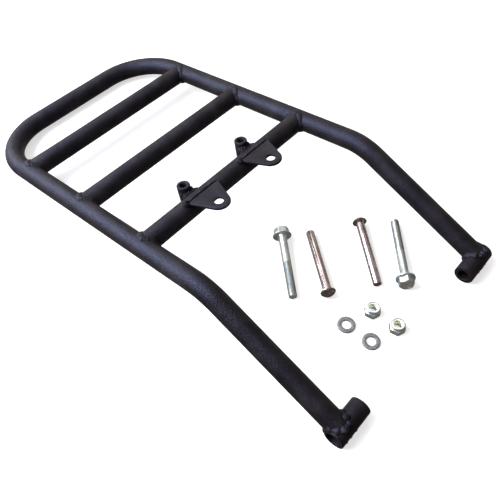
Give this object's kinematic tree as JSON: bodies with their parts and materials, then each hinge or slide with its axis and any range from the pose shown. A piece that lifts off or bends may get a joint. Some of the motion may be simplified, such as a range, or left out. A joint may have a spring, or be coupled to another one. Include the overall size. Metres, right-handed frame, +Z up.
{
  "type": "luggage rack",
  "caption": "Rigid tubular luggage carrier: a bent hoop with two legs, welded crossbars, tabs, spacers and end bosses, with its loose bolts, pins, nuts and washers.",
  "frame": {"origin": "on the surface that the carrier lies on, under the middle of its length and width", "axes": "+X from the hoop to the end bosses, +Y to the left side, +Z up"},
  "size_m": [0.4718, 0.234, 0.0707],
  "materials": {
    "frame_paint": "satin black powder coat, fine texture",
    "zinc_plate": "bright zinc plate with a faint yellow-blue tint",
    "polished_steel": "polished stainless steel",
    "nylon": "cream nylon",
    "dull_steel": "dull grey plated steel"
  },
  "bodies": {
    "carrier": {"right_leg": "frame_paint", "right_leg_bend": "frame_paint", "right_rail": "frame_paint", "right_hoop_bend": "frame_paint", "hoop_tube": "frame_paint", "left_hoop_bend": "frame_paint", "left_rail": "frame_paint", "left_leg_bend": "frame_paint", "left_leg": "frame_paint", "rear_crossbar": "frame_paint", "rear_crossbar_welds": "frame_paint", "middle_crossbar": "frame_paint", "middle_crossbar_welds": "frame_paint", "front_crossbar": "frame_paint", "front_crossbar_welds": "frame_paint", "right_boss": "frame_paint", "right_boss_weld": "frame_paint", "right_tab": "frame_paint", "right_tab_weld": "frame_paint", "right_spacer": "frame_paint", "right_spacer_web": "frame_paint", "left_boss": "frame_paint", "left_boss_weld": "frame_paint", "left_tab": "frame_paint", "left_tab_weld": "frame_paint", "left_spacer": "frame_paint", "left_spacer_web": "frame_paint"},
    "near_flange_bolt": {"near_flange_bolt": "zinc_plate"},
    "far_flange_bolt": {"far_flange_bolt": "zinc_plate"},
    "near_dome_pin": {"near_dome_pin": "polished_steel"},
    "far_dome_pin": {"far_dome_pin": "polished_steel"},
    "rear_washer": {"rear_washer": "dull_steel"},
    "front_washer": {"front_washer": "dull_steel"},
    "rear_nut": {"rear_nut_body": "zinc_plate", "rear_nut_nylon_ring": "nylon"},
    "front_nut": {"front_nut_body": "zinc_plate", "front_nut_nylon_ring": "nylon"}
  },
  "joints": [
    {"name": "near_flange_bolt_lift", "type": "slide", "parent": "carrier", "child": "near_flange_bolt", "axis": [0, 0, 1], "range_m": [0, 0.06]},
    {"name": "far_flange_bolt_lift", "type": "slide", "parent": "carrier", "child": "far_flange_bolt", "axis": [0, 0, 1], "range_m": [0, 0.02]},
    {"name": "near_dome_pin_lift", "type": "slide", "parent": "carrier", "child": "near_dome_pin", "axis": [0, 0, 1], "range_m": [0, 0.06]},
    {"name": "far_dome_pin_lift", "type": "slide", "parent": "carrier", "child": "far_dome_pin", "axis": [0, 0, 1], "range_m": [0, 0.06]},
    {"name": "rear_washer_lift", "type": "slide", "parent": "carrier", "child": "rear_washer", "axis": [0, 0, 1], "range_m": [0, 0.06]},
    {"name": "front_washer_lift", "type": "slide", "parent": "carrier", "child": "front_washer", "axis": [0, 0, 1], "range_m": [0, 0.06]},
    {"name": "rear_nut_lift", "type": "slide", "parent": "carrier", "child": "rear_nut", "axis": [0, 0, 1], "range_m": [0, 0.06]},
    {"name": "front_nut_lift", "type": "slide", "parent": "carrier", "child": "front_nut", "axis": [0, 0, 1], "range_m": [0, 0.06]}
  ]
}
